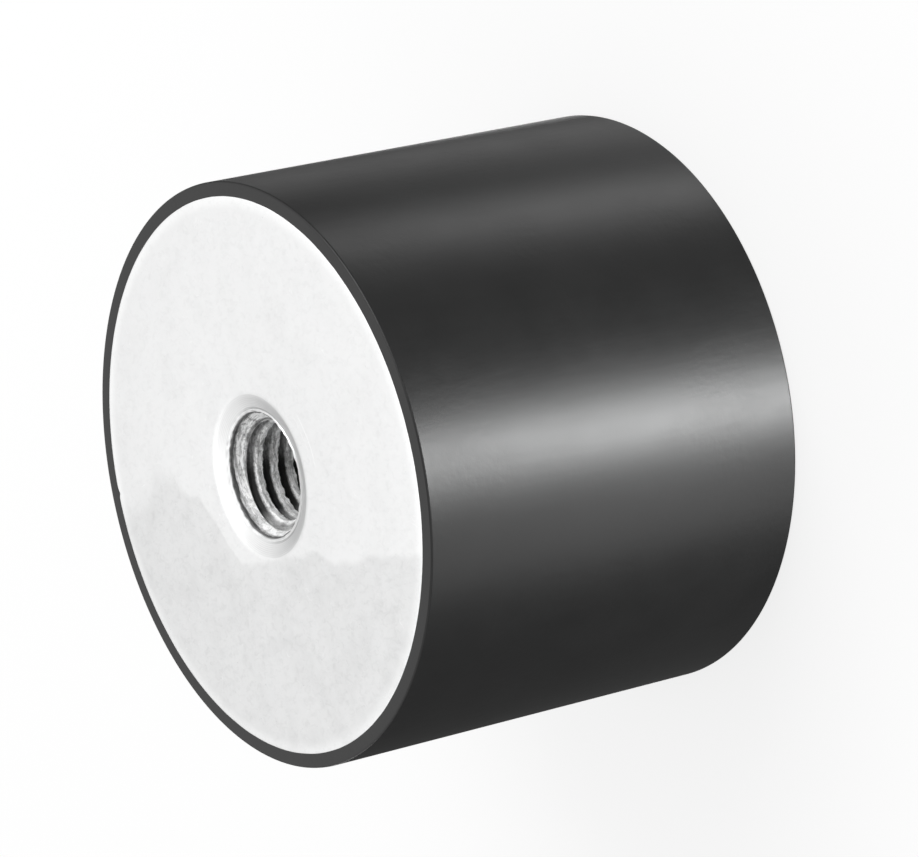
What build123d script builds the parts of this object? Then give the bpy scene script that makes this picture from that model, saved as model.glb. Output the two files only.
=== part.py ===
from build123d import *
import math
import os

# A bobbin vibration mount: a rubber cylinder moulded round two steel plates, each with a
# threaded bush in its centre. It stands on its lower plate, with its axis on Z.

# Driving dimensions, in millimetres and degrees.
body_diameter = 40.0  # the moulded rubber, and so the whole mount
mount_height = 30.0  # from the face of one plate to the face of the other
lip_width = 1.0  # rubber round the rim of each plate, flush with its face
lip_round = 0.15  # outer corner of each lip

plate_thickness = 2.0

thread_diameter = 8.0
thread_pitch = 1.25
thread_length = 6.0  # bored wall that carries the full thread
relief_clearance = 0.25  # between the thread's outer diameter and the relief wall
relief_length = 0.4  # straight wall between the countersink and the lead-in
lead_in_angle = 90.0  # included angle of the cone from the relief to the thread
countersink_width = 1.35  # across the sloping ring that shows in the plate
countersink_angle = 140.0  # included angle of that ring
drill_point_angle = 118.0

shoulder_width = 1.9  # step of the bush behind the plate
end_wall = 1.0  # metal left beyond the drill's point

# Radii that follow from them.
body_radius = body_diameter / 2
plate_radius = body_radius - lip_width
core_radius = (thread_diameter - thread_pitch) / 2
relief_radius = thread_diameter / 2 + relief_clearance
neck_radius = relief_radius + countersink_width
shoulder_radius = neck_radius + shoulder_width


def cone_depth(outer_radius, inner_radius, included_angle):
    """Depth of a cone that narrows from one radius to the other."""
    return (outer_radius - inner_radius) / math.tan(math.radians(included_angle / 2))


# Heights inside the upper bush, from the plate's face down to the bush's buried end.
countersink_end = mount_height - cone_depth(neck_radius, relief_radius, countersink_angle)
relief_end = countersink_end - relief_length
thread_start = relief_end - cone_depth(relief_radius, core_radius, lead_in_angle)
thread_end = thread_start - thread_length
drill_tip = thread_end - cone_depth(core_radius, 0, drill_point_angle)
bush_end = drill_tip - end_wall
plate_back = mount_height - plate_thickness
middle = Plane.XY.offset(mount_height / 2)


# Upper plate: a stamped disc with a hole for the bush's neck.
with BuildPart() as upper_plate:
    with BuildSketch(Plane.XY.offset(plate_back)):
        Circle(plate_radius)
        Circle(neck_radius, mode=Mode.SUBTRACT)
    extrude(amount=plate_thickness)
upper_plate.part.label = "upper_plate"


# Outer form of the upper bush: a neck that fills the plate's hole and a shoulder behind it.
with BuildPart() as bush_form:
    with BuildSketch(Plane.XY.offset(bush_end)):
        Circle(shoulder_radius)
    extrude(amount=plate_back - bush_end)
    with BuildSketch(Plane.XY.offset(plate_back)):
        Circle(neck_radius)
    extrude(amount=plate_thickness)


# Upper bush: the same form with a blind hole. The countersink takes the whole end of the
# neck, so the joint between the neck and the plate lies on the countersink's rim.
with BuildPart() as upper_bush:
    add(bush_form.part)
    with BuildSketch(Plane.XZ):
        with BuildLine():
            Polyline(
                (0, mount_height),
                (neck_radius, mount_height),
                (relief_radius, countersink_end),
                (relief_radius, relief_end),
                (core_radius, thread_start),
                (core_radius, thread_end),
                (0, drill_tip),
                close=True,
            )
        make_face()
    revolve(axis=Axis.Z, mode=Mode.SUBTRACT)
upper_bush.part.label = "upper_bush"


# Lower plate and bush: the same pieces, mirrored about the middle of the mount.
with BuildPart() as lower_plate:
    mirror(upper_plate.part, about=middle)
lower_plate.part.label = "lower_plate"

with BuildPart() as lower_bush:
    mirror(upper_bush.part, about=middle)
lower_bush.part.label = "lower_bush"


# Rubber body: one moulding that fills the mould round both plates and bushes. It laps the
# rims of the plates and ends flush with their faces.
with BuildPart() as rubber_body:
    with BuildSketch():
        Circle(body_radius)
    extrude(amount=mount_height)
    fillet(rubber_body.edges().filter_by(GeomType.CIRCLE), min(lip_round, 0.9 * lip_width))
    for insert in (upper_plate.part, bush_form.part):
        add(insert, mode=Mode.SUBTRACT)
        mirror(insert, about=middle, mode=Mode.SUBTRACT)
rubber_body.part.label = "rubber_body"


os.makedirs("parts", exist_ok=True)
export_step(rubber_body.part, "parts/rubber_body.step")
export_step(upper_plate.part, "parts/upper_plate.step")
export_step(lower_plate.part, "parts/lower_plate.step")
export_step(upper_bush.part, "parts/upper_bush.step")
export_step(lower_bush.part, "parts/lower_bush.step")
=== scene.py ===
import math

import bmesh
import bpy
from mathutils import Matrix, Quaternion, Vector, noise


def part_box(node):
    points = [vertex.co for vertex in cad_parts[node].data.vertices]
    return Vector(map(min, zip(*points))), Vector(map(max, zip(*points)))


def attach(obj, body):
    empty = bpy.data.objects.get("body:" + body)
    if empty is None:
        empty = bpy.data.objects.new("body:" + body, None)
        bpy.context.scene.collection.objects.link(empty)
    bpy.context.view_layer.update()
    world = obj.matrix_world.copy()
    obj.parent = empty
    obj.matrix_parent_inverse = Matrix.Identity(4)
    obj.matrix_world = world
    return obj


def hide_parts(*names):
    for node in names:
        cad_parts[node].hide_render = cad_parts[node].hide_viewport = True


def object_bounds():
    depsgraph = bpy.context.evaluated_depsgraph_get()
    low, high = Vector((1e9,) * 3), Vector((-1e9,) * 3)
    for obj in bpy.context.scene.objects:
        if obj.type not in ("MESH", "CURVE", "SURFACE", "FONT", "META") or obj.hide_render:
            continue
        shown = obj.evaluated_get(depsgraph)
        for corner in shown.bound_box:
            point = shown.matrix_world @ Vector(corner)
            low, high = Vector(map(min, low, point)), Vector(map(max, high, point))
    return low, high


# A bobbin vibration mount: a rubber cylinder moulded round two zinc-plated steel discs, each with
# a blind threaded bush in its middle. It stands on its lower disc, with its axis on Z, in metres.

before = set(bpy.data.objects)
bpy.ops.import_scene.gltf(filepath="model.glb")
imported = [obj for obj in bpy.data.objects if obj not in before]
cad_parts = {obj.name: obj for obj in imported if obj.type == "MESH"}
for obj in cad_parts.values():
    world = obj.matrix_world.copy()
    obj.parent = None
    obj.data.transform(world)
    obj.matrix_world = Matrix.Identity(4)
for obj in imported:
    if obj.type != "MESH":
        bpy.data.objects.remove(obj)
cad_low, cad_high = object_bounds()

MM = 0.001

# Sizes that the frame gives.
plate_low, plate_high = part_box("upper_plate")
bush_low, bush_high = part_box("upper_bush")
mount_height = cad_high.z
middle_height = mount_height / 2
body_radius = cad_high.x
plate_radius = plate_high.x
plate_thickness = plate_high.z - plate_low.z
shoulder_radius = bush_high.x
bush_length = bush_high.z - bush_low.z

# Sizes inside the bush, as in the part's source.
thread_radius = 4.0 * MM
thread_pitch = 1.25 * MM
thread_length = 6.0 * MM
core_radius = thread_radius - thread_pitch / 2
relief_radius = thread_radius + 0.25 * MM
relief_length = 0.4 * MM
countersink_width = 1.35 * MM
countersink_angle = 140
lead_in_angle = 90
drill_point_angle = 118
neck_radius = relief_radius + countersink_width

lip_round = 0.15 * MM

# Small edges that only the dressed model has.
countersink_slope = math.radians(90 - countersink_angle / 2)
rim_roll_radius = 1.7 * MM  # the rounded rim of the countersink, half on the disc, half on the neck
burr_width = 0.26 * MM  # the raised edge that the cutter left round the mouth of the hole
burr_height = 0.07 * MM
disc_rim = ((0, 0.012), (0.05, 0.005), (0.11, 0.001), (0.20, 0))  # mm in from the edge, mm down
flash_reach = 0.015 * MM  # about how far the rubber creeps over the rim of a disc
flash_spot_reach = 0.2 * MM  # how far it creeps at its one larger spot
flash_spot_angle = math.radians(87)
flash_spot_width = math.radians(0.7)

ROUND_STEPS = 384
SHARP_ANGLE = math.radians(35)  # an edge that bends by more than this stays sharp
THREAD_SHARP_ANGLE = math.radians(28)
LAMP_DISTANCE = 0.8


def cone_depth(outer_radius, inner_radius, included_angle):
    """Depth of a cone that narrows from one radius to the other."""
    return (outer_radius - inner_radius) / math.tan(math.radians(included_angle / 2))


# ---------------------------------------------------------------- modelling helpers


def add_cylinder(name, radius, low, high):
    """Adds a closed round bar from one height to another, and leaves it active in object mode."""
    bpy.ops.object.select_all(action="DESELECT")
    bpy.ops.mesh.primitive_cylinder_add(
        vertices=ROUND_STEPS, radius=radius, depth=high - low, location=(0, 0, (low + high) / 2)
    )
    bpy.ops.object.transform_apply(location=True, rotation=True, scale=True)
    piece = bpy.context.object
    piece.name = piece.data.name = name
    return piece


def pick_faces(piece, wanted):
    """Goes to edit mode with only the wanted faces selected."""
    bpy.ops.object.mode_set(mode="EDIT")
    bpy.ops.mesh.select_mode(type="FACE")
    bpy.ops.mesh.select_all(action="DESELECT")
    shape = bmesh.from_edit_mesh(piece.data)
    for face in shape.faces:
        face.select_set(bool(wanted(face)))
    bmesh.update_edit_mesh(piece.data)


def pick_edges(piece, wanted):
    """Goes to edit mode with only the wanted edges selected."""
    bpy.ops.object.mode_set(mode="EDIT")
    bpy.ops.mesh.select_mode(type="EDGE")
    bpy.ops.mesh.select_all(action="DESELECT")
    shape = bmesh.from_edit_mesh(piece.data)
    for edge in shape.edges:
        edge.select_set(bool(wanted(edge)))
    bmesh.update_edit_mesh(piece.data)


def end_face(height):
    """Test for the flat face that closes a round piece at a height."""
    return lambda face: (
        len(face.verts) == ROUND_STEPS and all(abs(v.co.z - height) < 1e-6 for v in face.verts)
    )


def level_edge(edge):
    """Whether an edge runs round the piece and not up its side."""
    return abs(edge.verts[0].co.z - edge.verts[1].co.z) < 1e-6


def turn_profile(points, outward=1):
    """Shapes a piece on from its selected end face, through (radius, height) points.

    Outward is 1 for an end that faces up and -1 for one that faces down.
    """
    for (radius, height), (next_radius, next_height) in zip(points, points[1:]):
        rise = next_height - height
        if next_radius == radius:
            bpy.ops.mesh.extrude_region_move(TRANSFORM_OT_translate={"value": (0, 0, rise)})
        else:
            bpy.ops.mesh.inset(thickness=radius - next_radius, depth=rise * outward)


def rolled_rim(first_angle, last_angle):
    """Points of the countersink's rounded rim, between two slopes of its arc."""
    steps = 3
    middle = countersink_slope / 2
    points = []
    for step in range(steps + 1):
        angle = first_angle + (last_angle - first_angle) * step / steps
        points.append((
            neck_radius + rim_roll_radius * (math.sin(middle) - math.sin(angle)),
            mount_height - rim_roll_radius * (1 - math.cos(angle)),
        ))
    return points


def finish_shape(piece):
    """Merges doubles, points the faces outwards and smooths what isn't a real edge."""
    bpy.ops.object.mode_set(mode="EDIT")
    bpy.ops.mesh.select_all(action="SELECT")
    bpy.ops.mesh.remove_doubles(threshold=1e-7)
    bpy.ops.mesh.normals_make_consistent(inside=False)
    bpy.ops.object.mode_set(mode="OBJECT")
    bpy.ops.object.select_all(action="DESELECT")
    piece.select_set(True)
    bpy.context.view_layer.objects.active = piece
    bpy.ops.object.shade_smooth_by_angle(angle=SHARP_ANGLE)


def turned_over(piece, name):
    """A copy of a piece from the upper end, turned half a turn about X to serve the lower end."""
    bpy.ops.object.select_all(action="DESELECT")
    piece.select_set(True)
    bpy.context.view_layer.objects.active = piece
    bpy.ops.object.duplicate(linked=False)
    copy = bpy.context.object
    copy.name = copy.data.name = name
    bpy.ops.transform.rotate(
        value=math.pi, orient_axis="X", center_override=(0, 0, middle_height)
    )
    bpy.ops.object.transform_apply(location=True, rotation=True, scale=True)
    return copy


# ---------------------------------------------------------------- pieces


def make_rubber():
    """The moulding, with a pocket at each end for a disc and the shoulder of its bush."""
    piece = add_cylinder("moulded_rubber", body_radius, 0, mount_height)
    pick_edges(piece, level_edge)
    bpy.ops.mesh.bevel(offset=lip_round, segments=4, profile=0.5, affect="EDGES")
    for end, inward in ((mount_height, -1), (0, 1)):
        pick_faces(piece, end_face(end))
        turn_profile((
            (body_radius - lip_round, end),
            (plate_radius, end),
            (plate_radius, end + inward * plate_thickness),
            (shoulder_radius, end + inward * plate_thickness),
            (shoulder_radius, end + inward * bush_length),
        ), outward=-inward)
        spread_flash(piece, end)
    finish_shape(piece)
    return piece


def spread_flash(piece, end):
    """Lets the inner edge of a lip creep unevenly over the rim of its disc, as moulded rubber does."""
    shape = bmesh.from_edit_mesh(piece.data)
    for vertex in shape.verts:
        if abs(vertex.co.z - end) > 1e-6 or abs(vertex.co.xy.length - plate_radius) > 1e-5:
            continue
        angle = math.atan2(vertex.co.y, vertex.co.x)
        creep = flash_reach * (0.5 + noise.noise(vertex.co / (1.1 * MM)))
        creep += flash_spot_reach * math.exp(-((angle - flash_spot_angle) / flash_spot_width) ** 2)
        vertex.co.xy *= 1 - max(creep, 0) / plate_radius
    bmesh.update_edit_mesh(piece.data)


def make_disc():
    """The upper disc, stamped from sheet: rolled rims, and a hole for the neck of the bush."""
    low = mount_height - plate_thickness
    outer_rim = [(plate_radius - inset * MM, mount_height - drop * MM) for inset, drop in disc_rim]
    edge = outer_rim[0][1]
    piece = add_cylinder("upper_disc", plate_radius, low, edge)
    pick_faces(piece, end_face(edge))
    turn_profile((*outer_rim, *rolled_rim(0, countersink_slope / 2)))
    pick_faces(piece, end_face(low))
    turn_profile(((plate_radius, low), (neck_radius, low)), outward=-1)
    pick_faces(piece, lambda face: len(face.verts) == ROUND_STEPS)
    bpy.ops.mesh.bridge_edge_loops()
    finish_shape(piece)
    return piece


def make_bush():
    """The upper bush, turned from bar: shoulder, neck, countersink, relief, lead-in, blind bore."""
    plate_back = mount_height - plate_thickness
    piece = add_cylinder(
        "upper_threaded_bush", shoulder_radius, mount_height - bush_length, plate_back
    )
    mouth = mount_height - cone_depth(neck_radius, relief_radius, countersink_angle)
    rise = math.tan(countersink_slope)
    relief_end = mouth - relief_length
    thread_start = relief_end - cone_depth(relief_radius, core_radius, lead_in_angle)
    thread_end = thread_start - thread_length
    tip_radius = 0.02 * MM
    # The first two of these rings keep the burr's ripple out of the shading of the whole cone.
    cone_rings = [
        (relief_radius + beyond, mouth + beyond * rise)
        for beyond in (1.6 * burr_width, 1.25 * burr_width, burr_width)
    ]
    pick_faces(piece, end_face(plate_back))
    turn_profile((
        (shoulder_radius, plate_back),
        (neck_radius, plate_back),
        *rolled_rim(countersink_slope / 2, countersink_slope),
        *cone_rings,
        (relief_radius + 0.6 * burr_width, mouth + burr_width * rise + burr_height),
        (relief_radius + 0.25 * burr_width, mouth + burr_height),
        (relief_radius, mouth - 0.5 * burr_height),
        (relief_radius, relief_end),
        (core_radius, thread_start),
        (core_radius, thread_end),
        (tip_radius, thread_end - cone_depth(core_radius, tip_radius, drill_point_angle)),
    ))
    roughen_mouth(piece, mouth)
    finish_shape(piece)
    cut_thread(piece)
    return piece


def roughen_mouth(piece, mouth):
    """Makes the burr round the mouth uneven, and lower on the +Y side."""
    ripple_height, ripple_reach = 0.04 * MM, 0.06 * MM
    shape = bmesh.from_edit_mesh(piece.data)
    for vertex in shape.verts:
        beyond = vertex.co.xy.length - relief_radius
        on_burr = -0.3 * burr_width < beyond < 1.1 * burr_width
        if not on_burr or abs(vertex.co.z - mouth) > 0.2 * MM:
            continue
        ripple = noise.noise(vertex.co / (0.45 * MM))
        cone = mouth + beyond * math.tan(countersink_slope)
        share = 0.55 - 0.45 * vertex.co.y / vertex.co.xy.length
        vertex.co.z = cone + (vertex.co.z - cone) * share + ripple_height * ripple
        vertex.co.xy *= 1 - ripple_reach * ripple / relief_radius
    bmesh.update_edit_mesh(piece.data)


def make_tap():
    """The cutter for the thread: a right-handed ridge with 60 degree flanks and a narrow flat.

    It starts on the +X side, so it comes to the +Y side a quarter of a turn later.
    """
    turns = 6
    turns_below_top_groove = 4.25
    top_groove_depth = 1.57 * MM  # on the +Y side, from the disc's face
    reach = 0.2 * MM  # how far the ridge's foot lies inside the drilled bore
    crest_half = thread_pitch / 16
    foot_radius = core_radius - reach
    foot_half = crest_half + (thread_radius - foot_radius) * math.tan(math.radians(30))
    start_height = mount_height - top_groove_depth - turns_below_top_groove * thread_pitch
    profile = (
        (foot_radius, -foot_half),
        (thread_radius, -crest_half),
        (thread_radius, crest_half),
        (foot_radius, foot_half),
    )
    bpy.ops.object.select_all(action="DESELECT")
    bpy.ops.mesh.primitive_circle_add(vertices=len(profile), radius=thread_radius)
    tap = bpy.context.object
    tap.name = tap.data.name = "thread_tap"
    for vertex, (radius, height) in zip(tap.data.vertices, profile):
        vertex.co = (radius, 0, start_height + height)
    helix = tap.modifiers.new("helix", "SCREW")
    helix.angle = math.tau
    helix.screw_offset = thread_pitch
    helix.iterations = turns
    helix.steps = helix.render_steps = 112
    helix.use_merge_vertices = False
    bpy.ops.object.modifier_apply(modifier="helix")
    bpy.ops.object.mode_set(mode="EDIT")
    bpy.ops.mesh.select_all(action="SELECT")
    bpy.ops.mesh.fill_holes(sides=len(profile))
    bpy.ops.mesh.normals_make_consistent(inside=False)
    bpy.ops.object.mode_set(mode="OBJECT")
    return tap


def cut_thread(piece):
    """Cuts the thread into the bore of a bush, and tears its crests a little."""
    torn_height, torn_reach = 0.08 * MM, 0.05 * MM
    tap = make_tap()
    bpy.ops.object.select_all(action="DESELECT")
    piece.select_set(True)
    bpy.context.view_layer.objects.active = piece
    cut = piece.modifiers.new("thread", "BOOLEAN")
    cut.operation = "DIFFERENCE"
    cut.solver = "EXACT"
    cut.object = tap
    bpy.ops.object.modifier_apply(modifier="thread")
    bpy.data.objects.remove(tap)
    for vertex in piece.data.vertices:
        if core_radius / 2 < vertex.co.xy.length < core_radius + 0.05 * MM:
            torn = noise.noise(vertex.co / (0.5 * MM)) + 0.6 * noise.noise(vertex.co / (0.22 * MM))
            vertex.co.z += torn_height * torn
            vertex.co.xy *= 1 + torn_reach * torn / core_radius
    bpy.ops.object.shade_smooth_by_angle(angle=THREAD_SHARP_ANGLE)


# ---------------------------------------------------------------- finishes

# The colour of bright zinc plating, in linear light.
ZINC_WHITE = (0.997, 1.0, 1.0, 1.0)


def grey(level):
    """A grey from 0 to 1, in linear light."""
    return (level, level, level, 1.0)


class Value:
    """What a node gives, such as a number that varies over a surface.

    A sum written with it adds its Math nodes.
    """

    def __init__(self, nodes, socket):
        self.nodes = nodes
        self.socket = socket

    def sum(self, operation, first, second):
        return self.nodes.node("Math", {"operation": operation}, {0: first, 1: second})

    def __add__(self, other):
        return self.sum("ADD", self, other)

    def __radd__(self, other):
        return self.sum("ADD", other, self)

    def __sub__(self, other):
        return self.sum("SUBTRACT", self, other)

    def __rsub__(self, other):
        return self.sum("SUBTRACT", other, self)

    def __mul__(self, other):
        return self.sum("MULTIPLY", self, other)

    def __rmul__(self, other):
        return self.sum("MULTIPLY", other, self)

    def __pow__(self, other):
        return self.sum("POWER", self, other)


class Nodes:
    """The node tree of a material or the world, in the making."""

    def __init__(self, owner):
        owner.use_nodes = True
        self.tree = owner.node_tree
        self.tree.nodes.clear()

    def node(self, kind, settings=None, inputs=None, output=0):
        """Adds a node: its settings first, then the values or links of its sockets."""
        made = self.tree.nodes.new("ShaderNode" + kind)
        for name, value in (settings or {}).items():
            if name == "stops":
                self.set_stops(made.color_ramp, value)
            else:
                setattr(made, name, value)
        for name, value in (inputs or {}).items():
            if isinstance(value, Value):
                self.tree.links.new(value.socket, made.inputs[name])
            else:
                made.inputs[name].default_value = value
        return Value(self, made.outputs[output]) if made.outputs else None

    def set_stops(self, ramp, stops):
        """Gives a ramp its (position, grey level) stops, in order."""
        for position, level in stops[1:-1]:
            ramp.elements.new(position)
        for element, (position, level) in zip(ramp.elements, stops):
            element.position = position
            element.color = grey(level)


class Finish(Nodes):
    """A material in the making. Its place on a piece is read in millimetres."""

    def __init__(self, name):
        self.material = bpy.data.materials.new(name)
        super().__init__(self.material)
        spot = self.node("TexCoord", output="Object")
        self.place = self.node("VectorMath", {"operation": "SCALE"}, {"Vector": spot, "Scale": 1 / MM})
        axes = self.node("SeparateXYZ", {}, {0: self.place})
        self.x, self.y, self.z = (Value(self, s) for s in axes.socket.node.outputs)
        self.radius = (self.x * self.x + self.y * self.y) ** 0.5

    def noise(self, size, stretch=(1, 1, 1), detail=3.0, roughness=0.55, distortion=0.0, at=(0, 0, 0)):
        """Cloudy noise from 0 to 1, whose grains are about size millimetres across."""
        spot = self.node(
            "Mapping", {}, {"Vector": self.place, "Scale": tuple(1 / s for s in stretch), "Location": at}
        )
        return self.node("TexNoise", {}, {
            "Vector": spot, "Scale": 1 / size, "Detail": detail,
            "Roughness": roughness, "Distortion": distortion,
        })

    def round_streaks(self, depth):
        """Noise drawn out round the axis, as a tap tears it. Its seam lies on the -Y side."""
        angle = self.node("Math", {"operation": "ARCTAN2"}, {0: self.x, 1: self.y})
        spot = self.node("CombineXYZ", {}, {0: angle * 2.2, 1: depth * 5.0 + angle, 2: self.radius * 4.0})
        return self.node("TexNoise", {}, {"Vector": spot, "Scale": 1.0, "Detail": 4.0, "Roughness": 0.65})

    def step(self, value, low, high):
        """0 below low and 1 above high, or the other way round where low is the larger."""
        return self.node("MapRange", {"interpolation_type": "SMOOTHSTEP"}, {
            "Value": value, "From Min": low, "From Max": high,
        })

    def between(self, value, low, high, soft):
        """1 between low and high, and 0 outside them."""
        return self.step(value, low - soft, low) * self.step(value, high + soft, high)

    def specks(self, spacing, size, share):
        """Round specks of a size, on that share of the cells of a grid with that spacing."""
        cell = {"Vector": self.place, "Scale": 1 / spacing}
        distance = self.node("TexVoronoi", {}, cell)
        choice = self.node("TexVoronoi", {}, cell, output="Color")
        chosen = self.node("SeparateColor", {}, {0: choice})
        return self.step(distance, size / spacing, 0.4 * size / spacing) * self.step(
            chosen, share + 0.02, share
        )

    def mix(self, factor, first, second):
        """Blends two colours."""
        settings = {"data_type": "RGBA", "clamp_factor": True}
        return self.node("Mix", settings, {0: factor, 6: first, 7: second}, output=2)

    def surface(self, sockets, height):
        """Ends the material with its shader. The height, in millimetres, becomes its bump."""
        bump = self.node("Bump", {}, {"Height": height, "Distance": MM, "Strength": 1.0})
        shader = self.node("BsdfPrincipled", {}, {**sockets, "Normal": bump})
        self.node("OutputMaterial", {}, {"Surface": shader})
        return self.material


def rubber_finish():
    """Satin black rubber from a polished mould, faintly uneven, with flow marks and a little dust."""
    finish = Finish("moulded_black_rubber")
    cloud = finish.noise(4.0)
    grain = finish.noise(0.12, detail=2.0)
    flow = finish.noise(0.5, stretch=(1, 1, 14), detail=2.0)
    patches = finish.step(finish.noise(7.0, at=(2, 8, 5), detail=2.0), 0.42, 0.58)
    lumps = finish.noise(0.5, at=(2, 8, 5), detail=3.0) * (0.3 + 0.7 * patches)
    dust = finish.specks(0.8, 0.07, 0.10)
    tone = finish.mix(cloud, grey(0.0075), grey(0.0105))
    tone = finish.mix(dust * 0.5, tone, grey(0.025))
    roughness = 0.31 + 0.05 * cloud + 0.03 * flow + 0.04 * lumps + 0.1 * dust
    height = 0.0012 * grain + 0.0025 * flow + 0.009 * lumps
    return finish.surface({
        "Base Color": tone, "Roughness": roughness, "Specular IOR Level": 0.38,
    }, height)


def disc_painted_reflection(finish):
    """The painted reflection: the -X side of an edge that runs across, once each side of the hole, is
    darker.
    """
    wave = finish.noise(3.6, detail=3.0)
    edge = 6.5 * finish.step(finish.y, 3.5, 9.0) - 6.9 + 1.6 * (wave - 0.5)
    edge = edge + 1.6 * finish.between(finish.y, 11.6, 13.2, 2.2)
    edge = edge + 1.2 * finish.between(finish.y, -4.5, 3.5, 2.5)
    softness = 0.30 + 1.0 * finish.step(finish.y, 9.0, 13.0)
    return finish.step(finish.x - edge, softness, 0 - softness)


def disc_scratches(finish, cloud, streak):
    """A few hairlines all over, and two arcs that something turned in the hole has left."""
    lines = finish.between(finish.noise(1.9, distortion=1.4, detail=1.0), 0.500, 0.506, 0.006)
    lines = lines * finish.step(finish.noise(1.1, at=(3, 7, 0)), 0.56, 0.66)
    arcs = finish.between(finish.radius + 0.5 * cloud, 7.40, 7.46, 0.07)
    arcs = arcs + 0.6 * finish.between(finish.radius + 0.7 * cloud, 7.05, 7.09, 0.05)
    arcs = arcs * finish.between(finish.x, 0.2, 3.0, 0.6) * finish.step(finish.y, 0, -1)
    return lines * 0.7 + arcs * finish.step(streak, 0.40, 0.52)


def zinc_finish():
    """Bright zinc plating on rolled sheet: mottle, pits, fine scratches, a zone darkened as painted
    reflection and a rim lightened as painted highlight.
    """
    finish = Finish("zinc_plated_sheet")
    cloud = finish.noise(2.4, detail=5.0, roughness=0.6)
    streak = finish.noise(0.42, stretch=(1, 1.5, 1), detail=3.0, distortion=0.8)
    fine = finish.noise(0.15, detail=2.0)
    # Painted reflection: one zone of the disc is darker, with more mottle and darker pits.
    painted_reflection_zone = disc_painted_reflection(finish)
    scratches = disc_scratches(finish, cloud, streak)
    pits = finish.step(fine, 0.32, 0.25) * finish.step(finish.noise(1.3, at=(5, 2, 0)), 0.46, 0.58)
    mottle = finish.step(cloud, 0.35, 0.80) * (0.045 + 0.04 * painted_reflection_zone)
    mottle = mottle + finish.step(streak, 0.42, 0.85) * (0.07 + 0.03 * painted_reflection_zone)
    rim = plate_radius / MM
    # Painted highlight: the disc is lighter along its outer edge.
    painted_rim_highlight = finish.step(finish.radius + 1.3 * (streak - 0.5), rim - 1.0, rim - 0.1)
    level = (0.87 - 0.082 * painted_reflection_zone) * (1.015 - mottle)
    level = level + 0.10 * painted_rim_highlight + 0.08 * scratches - pits * (0.14 + 0.10 * painted_reflection_zone)
    tone = finish.mix(level, grey(0), ZINC_WHITE)
    roughness = 0.34 + 0.08 * cloud + 0.06 * streak
    height = 0.003 * streak + 0.004 * cloud + 0.0008 * fine - 0.003 * pits
    return finish.surface({"Base Color": tone, "Roughness": roughness, "Metallic": 1.0}, height)


def turning_rings(finish, cloud):
    """Waves from -1 to 1 that the lathe left, clear in some places and faint in others."""
    ring_spacing = 0.12
    chatter = finish.noise(1.1, at=(4, 4, 4), detail=2.0)
    turns = (finish.radius + 0.05 * cloud) * (math.tau / ring_spacing)
    rings = finish.node("Math", {"operation": "SINE"}, {0: turns})
    return rings * finish.step(chatter, 0.35, 0.65)


def painted_relief_shade(finish, depth, streak):
    """How dark the painted shade in the relief is: down to an uneven line, a little higher on the -X
    side.
    """
    reach = depth + 0.5 * (streak - 0.5) + 0.12 * finish.step(finish.x, -1.0, -4.0)
    wall = relief_radius / MM
    return 0.86 * finish.step(reach, 0.80, 0.68) * finish.step(finish.radius, wall - 0.25, wall - 0.15)


def painted_groove_shade(finish, depth, torn, cloud):
    """How dark the painted shade in the thread's grooves is: most in the middle, less towards +X and on
    the -X side.
    """
    low_side = finish.step(finish.x + 0.6 * torn, -2.9, -1.9)
    high_side = finish.step(finish.x, 0.2, 2.4)
    crest = core_radius / MM
    in_groove = finish.step(finish.radius + 0.30 * (torn - 0.5), crest + 0.085, crest + 0.325)
    in_thread = finish.step(depth, 1.25, 1.45)
    return in_groove * in_thread * (0.62 + 0.36 * low_side - 0.34 * high_side * (0.5 + cloud))


def torn_marks_and_painted_shade(finish, in_hole, streak):
    """How much brightness the smears and gaps that the tap tore leave, less of it towards +X, where the
    extra darkening is painted shade.
    """
    gap_noise = finish.noise(0.7, at=(1, 6, 3), detail=4.0, roughness=0.7)
    smears = finish.step(streak, 0.54, 0.42) * in_hole
    gaps = finish.step(gap_noise, 0.50, 0.60) * in_hole
    # Painted shade: the torn marks darken the +X side more.
    painted_shade_towards_plus_x = 0.65 + 0.35 * finish.step(finish.x, -1.5, 1.5)
    return (1 - 0.5 * smears * painted_shade_towards_plus_x) * (1 - 0.4 * gaps * painted_shade_towards_plus_x)


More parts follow.
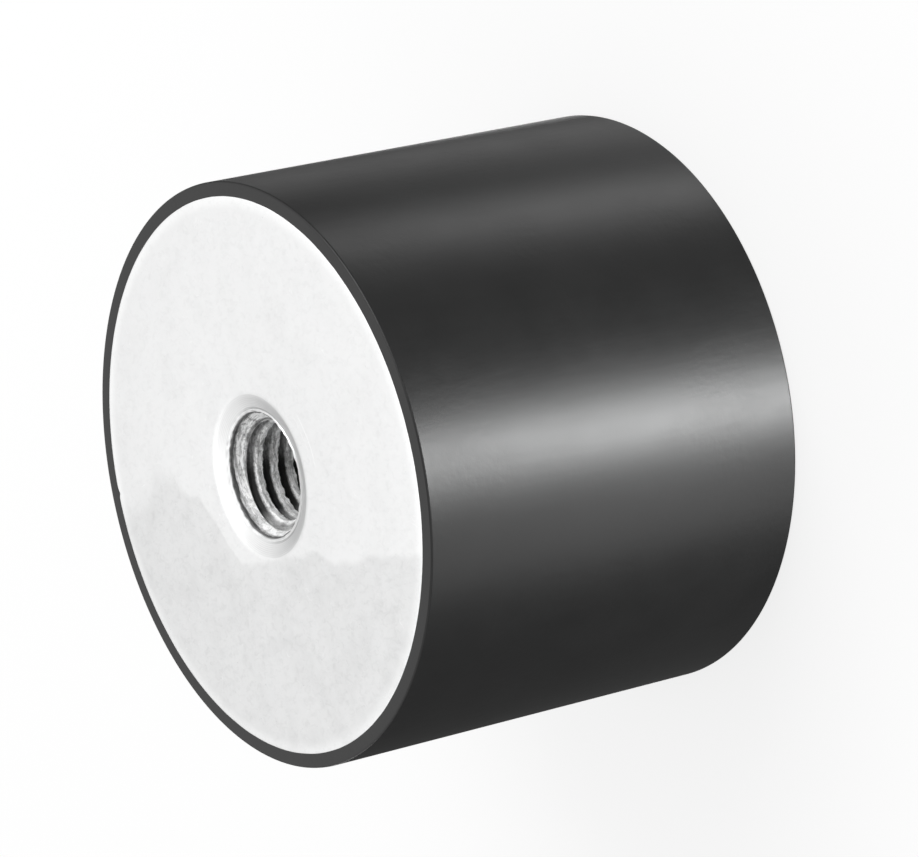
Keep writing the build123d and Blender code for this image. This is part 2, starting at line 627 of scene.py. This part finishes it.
def bush_finish(name, face_height, inward):
    """Turned and plated steel, with turning marks on the countersink, a torn thread, and painted shade on
    the cone's -Y side, in the relief and in the grooves.

    The height of the end's face is in millimetres. Inward is -1 where the hole leads down.
    """
    finish = Finish(name)
    depth = (finish.z - face_height) * inward
    cloud = finish.noise(1.6, detail=3.0)
    fine = finish.noise(0.14, detail=3.0)
    torn = finish.noise(0.30, stretch=(1, 1, 0.45), detail=4.0, roughness=0.7, distortion=0.9)
    streak = finish.round_streaks(depth)
    mouth = relief_radius / MM
    burr_foot = mouth + burr_width / MM
    on_cone = finish.step(finish.radius, mouth + 0.05, mouth + 0.15)
    in_hole = 1 - on_cone
    # Painted shade: the -Y side of the countersink and the line outside the burr are darker.
    painted_shade_near_side = finish.step(finish.y, 2.5, -1.5)
    rings = turning_rings(finish, cloud)
    groove_shade = painted_groove_shade(finish, depth, torn, cloud)
    # From the rim inwards: the ringed cone, darker on its -Y side as painted shade, a painted shade line
    # outside the burr, the relief, the thread.
    level = 0.84 + 0.08 * cloud - on_cone * (0.05 + 0.05 * rings + 0.07 * painted_shade_near_side)
    across = finish.radius + 0.10 * (cloud - 0.5)
    burr_shade = finish.between(across, burr_foot + 0.06, burr_foot + 0.14, 0.06)
    level = level - burr_shade * (0.03 + 0.19 * painted_shade_near_side)
    level = level + in_hole * (0.12 - 0.35 * finish.step(torn, 0.47, 0.36))
    level = level * (1 - in_hole * painted_relief_shade(finish, depth, streak)) * (1 - groove_shade)
    level = level * torn_marks_and_painted_shade(finish, in_hole, streak)
    tone = finish.mix(level, grey(0), ZINC_WHITE)
    roughness = 0.30 + 0.12 * cloud + 0.15 * in_hole + 0.15 * groove_shade
    metallic = 1 - 0.85 * in_hole
    height = 0.0015 * rings * on_cone + (0.06 * torn + 0.16 * streak) * in_hole + 0.002 * fine
    return finish.surface({"Base Color": tone, "Roughness": roughness, "Metallic": metallic}, height)


# ---------------------------------------------------------------- studio


def direction(azimuth, elevation):
    """Unit vector from the mount towards a place in the studio; azimuth 0 is the -Y side."""
    a, e = math.radians(azimuth), math.radians(elevation)
    return Vector((math.sin(a) * math.cos(e), -math.cos(a) * math.cos(e), math.sin(e)))


def add_lamp(name, azimuth, elevation, width, height, radiance, tilt=0, colour=(1, 1, 1)):
    """A softbox that faces the mount. Radiance is how bright its face is, where white paper is 1."""
    lamp = bpy.data.lights.new(name, "AREA")
    lamp.shape = "RECTANGLE"
    lamp.size, lamp.size_y = width, height
    lamp.energy = radiance * width * height * math.pi
    lamp.color = colour
    stand = bpy.data.objects.new(name, lamp)
    scene.collection.objects.link(stand)
    away = direction(azimuth, elevation)
    stand.location = Vector((0, 0, middle_height)) + away * LAMP_DISTANCE
    stand.rotation_mode = "QUATERNION"
    turn = Quaternion((0, 0, 1), math.radians(tilt))
    stand.rotation_quaternion = away.to_track_quat("Z", "Y") @ turn
    stand.visible_camera = False


def make_camera():
    """The camera looks at the upper disc from above, rolled on its side."""
    look_down = math.radians(33.52)
    roll = math.radians(102.43)
    distance = 0.35657
    aim_right, aim_up = 0.01341, 0.00321
    across = Vector((1, 0, 0))
    forward = Vector((0, math.cos(look_down), -math.sin(look_down)))
    upright = Vector((0, math.sin(look_down), math.cos(look_down)))
    right = math.cos(roll) * across - math.sin(roll) * upright
    up = math.sin(roll) * across + math.cos(roll) * upright
    lens = bpy.data.cameras.new("camera")
    lens.lens = 208.4
    lens.sensor_width = 36
    camera = bpy.data.objects.new("camera", lens)
    scene.collection.objects.link(camera)
    turn = Matrix((right, up, -forward)).transposed().to_4x4()
    place = Vector((0, 0, mount_height)) + aim_right * right + aim_up * up - distance * forward
    camera.matrix_world = Matrix.Translation(place) @ turn
    scene.camera = camera


def make_world():
    """White to the camera, and pale above with a darker lower half for the rubber's side."""
    straight_down, straight_up = 0.0, 1.0
    stops = (
        (straight_down, 0.08), (0.38, 0.11), (0.48, 0.18), (0.54, 0.3), (0.62, 0.60),
        (0.71, 0.95), (0.82, 0.95), (0.92, 0.73), (straight_up, 0.66),
    )
    scene.world = bpy.data.worlds.new("studio")
    world = Nodes(scene.world)
    spot = world.node("TexCoord", output="Generated")
    upward = world.node("SeparateXYZ", {}, {0: spot}, output="Z")
    fall = world.node("ValToRGB", {"stops": stops}, {0: upward * 0.5 + 0.5})
    studio = world.node("Background", {}, {"Color": fall})
    white = world.node("Background", {}, {"Color": grey(1)})
    camera_ray = world.node("LightPath", output="Is Camera Ray")
    both = world.node("MixShader", {}, {0: camera_ray, 1: studio, 2: white})
    world.node("OutputWorld", {}, {"Surface": both})


def make_floor():
    """A pale floor just under the mount, white to the camera but for the mount's shadow."""
    gap = 0.02 * MM
    bpy.ops.object.select_all(action="DESELECT")
    bpy.ops.mesh.primitive_plane_add(size=8, location=(0, 0, -gap))
    bpy.ops.object.transform_apply(location=True, rotation=True, scale=True)
    floor = bpy.context.object
    floor.name = floor.data.name = "studio_floor"
    paint = bpy.data.materials.new("floor_paint")
    nodes = Nodes(paint)
    camera_ray = nodes.node("LightPath", output="Is Camera Ray")
    matt = nodes.node("BsdfDiffuse", {}, {"Color": grey(0.8)})
    glow = nodes.node("Emission", {}, {"Color": grey(0.765)})
    shaded = nodes.node("BsdfDiffuse", {}, {"Color": grey(0.2)})
    seen = nodes.node("AddShader", {}, {0: glow, 1: shaded})
    both = nodes.node("MixShader", {}, {0: camera_ray, 1: matt, 2: seen})
    nodes.node("OutputMaterial", {}, {"Surface": both})
    floor.data.materials.append(paint)
    floor.visible_glossy = False
    floor.visible_shadow = False


def light_studio():
    """Softboxes. The low ones stand where the rubber's side mirrors them to the camera."""
    add_lamp("overhead_softbox", 180, 62, 0.45, 0.45, 0.9)
    add_lamp("threads_softbox", 78, 50, 0.5, 0.5, 3.7)
    add_lamp("long_strip", -10, -32, 0.165, 0.74, 30.0, -15, (0.99, 1.0, 1.0))
    add_lamp("long_strip_fill", -46, -34, 0.34, 0.6, 1.7, -15)
    add_lamp("short_strip", 84, -34, 0.2, 0.46, 3.2)
    add_lamp("edge_strip", 132, -34, 0.4, 0.46, 0.46)
    add_lamp("back_strip", 177, -24, 0.3, 0.5, 2.6)
    add_lamp("rear_strip", 222, -4, 0.2, 0.16, 4.0)


# ---------------------------------------------------------------- assembly


def dress(piece, finish, node):
    """Gives a piece its finish, and ties it to the frame in place of the CAD node."""
    piece.data.materials.clear()
    piece.data.materials.append(finish)
    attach(piece, "root")
    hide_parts(node)


scene = bpy.context.scene
scene.view_settings.view_transform = "Standard"
make_camera()
make_world()
light_studio()

rubber = make_rubber()
upper_disc = make_disc()
lower_disc = turned_over(upper_disc, "lower_disc")
upper_bush = make_bush()
lower_bush = turned_over(upper_bush, "lower_threaded_bush")
make_floor()

zinc = zinc_finish()
dress(rubber, rubber_finish(), "rubber_body")
dress(upper_disc, zinc, "upper_plate")
dress(lower_disc, zinc, "lower_plate")
dress(upper_bush, bush_finish("upper_turned_steel", mount_height / MM, -1), "upper_bush")
dress(lower_bush, bush_finish("lower_turned_steel", 0, 1), "lower_bush")
